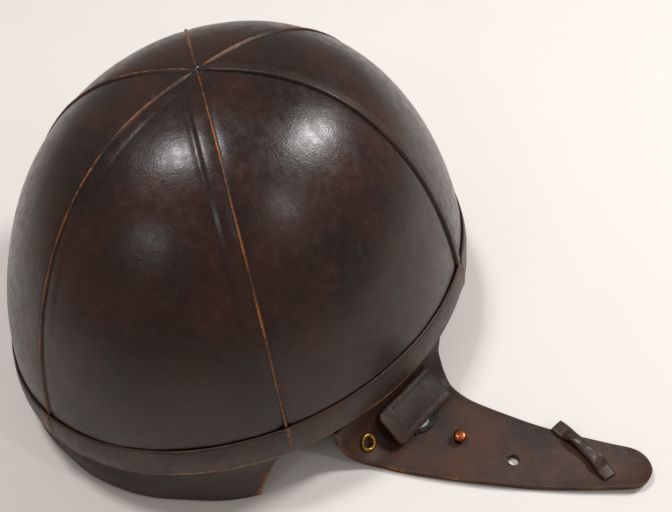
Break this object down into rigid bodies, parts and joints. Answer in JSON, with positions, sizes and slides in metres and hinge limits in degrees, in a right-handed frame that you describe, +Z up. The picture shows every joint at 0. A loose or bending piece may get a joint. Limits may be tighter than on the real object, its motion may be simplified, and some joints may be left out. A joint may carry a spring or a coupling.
{
  "type": "leather sports helmet",
  "caption": "Hard-shell leather sports helmet with a gored dome, stitched rim band, neck flap, ear flaps with cover tabs and tapering chin straps",
  "frame": {"origin": "on the table, under the middle of the box round the whole object as it lies, with the right strap laid out", "axes": "+Z up from the table, +Y towards the back of the head, -X towards the wearer's right; the dome leans 8 degrees to the wearer's left, as it lies on its folded flaps"},
  "size_m": [0.3266, 0.2534, 0.1566],
  "materials": {
    "crown_leather": "satin",
    "welt_leather": "satin",
    "band_leather": "satin",
    "strap_leather": "matte",
    "sweatband_leather": "matte",
    "flap_lining": "matte",
    "felt": "matte",
    "shell_fibre": "matte",
    "webbing": "matte",
    "lace_cotton": "matte",
    "brass": "satin",
    "copper": "satin"
  },
  "bodies": {
    "helmet": {"crown_panel_back_right": "crown_leather", "crown_panel_right": "crown_leather", "crown_panel_front_right": "crown_leather", "crown_panel_front_left": "crown_leather", "crown_panel_left": "crown_leather", "crown_panel_back_left": "crown_leather", "seam_welt_back": "welt_leather", "seam_welt_back_right": "welt_leather", "seam_welt_front_right": "welt_leather", "seam_welt_front": "welt_leather", "seam_welt_front_left": "welt_leather", "seam_welt_back_left": "welt_leather", "cradle_strap_back": "webbing", "cradle_strap_back_right": "webbing", "cradle_strap_front_right": "webbing", "cradle_strap_front": "webbing", "cradle_strap_front_left": "webbing", "cradle_strap_back_left": "webbing", "hard_shell": "shell_fibre", "felt_lining": "felt", "rim_band": "band_leather", "sweatband": "sweatband_leather", "sweatband_felt": "felt", "cradle_lace": "lace_cotton", "crown_pad": "felt", "neck_flap": "band_leather", "neck_flap_lining": "flap_lining"},
    "neck_tail": {"neck_tail": "band_leather", "neck_tail_lining": "flap_lining", "neck_tail_binding": "band_leather"},
    "right_ear_flap": {"right_ear_flap": "strap_leather", "right_ear_flap_lining": "flap_lining", "right_snap_socket": "brass"},
    "right_ear_tab": {"right_ear_tab": "strap_leather"},
    "right_chin_strap": {"right_chin_strap": "strap_leather", "right_chin_strap_lining": "flap_lining", "right_strap_stud": "copper", "right_strap_washer": "copper", "right_strap_keeper": "strap_leather"},
    "left_ear_flap": {"left_ear_flap": "strap_leather", "left_ear_flap_lining": "flap_lining", "left_snap_socket": "brass"},
    "left_ear_tab": {"left_ear_tab": "strap_leather"},
    "left_chin_strap": {"left_chin_strap": "strap_leather", "left_chin_strap_lining": "flap_lining"}
  },
  "joints": [
    {"name": "neck_tail_crease", "type": "hinge", "parent": "helmet", "child": "neck_tail", "pos_m": [0.05421, 0.1202, 0.0015], "axis": [1, 0, 0], "range_deg": [0, 95]},
    {"name": "right_ear_flap_crease", "type": "hinge", "parent": "helmet", "child": "right_ear_flap", "pos_m": [-0.04531, 0, 0.03219], "axis": [0, 1, 0], "range_deg": [-85, 45]},
    {"name": "right_ear_tab_crease", "type": "hinge", "parent": "right_ear_flap", "child": "right_ear_tab", "pos_m": [-0.04942, -0.024, 0.0143], "axis": [0.8746, 0, 0.4848], "range_deg": [0, 75]},
    {"name": "right_chin_strap_crease", "type": "hinge", "parent": "right_ear_flap", "child": "right_chin_strap", "pos_m": [-0.07131, 0, 0.0015], "axis": [0, 1, 0], "range_deg": [-80, 60]},
    {"name": "left_ear_flap_crease", "type": "hinge", "parent": "helmet", "child": "left_ear_flap", "pos_m": [0.15173, 0, 0.0033], "axis": [0, -1, 0], "range_deg": [0, 160]},
    {"name": "left_ear_tab_crease", "type": "hinge", "parent": "left_ear_flap", "child": "left_ear_tab", "pos_m": [0.11562, -0.024, 0.0008], "axis": [-1, 0, 0], "range_deg": [0, 90]},
    {"name": "left_chin_strap_crease", "type": "hinge", "parent": "left_ear_flap", "child": "left_chin_strap", "pos_m": [0.10212, 0, 0.0033], "axis": [0, 1, 0], "range_deg": [-80, 45]}
  ]
}
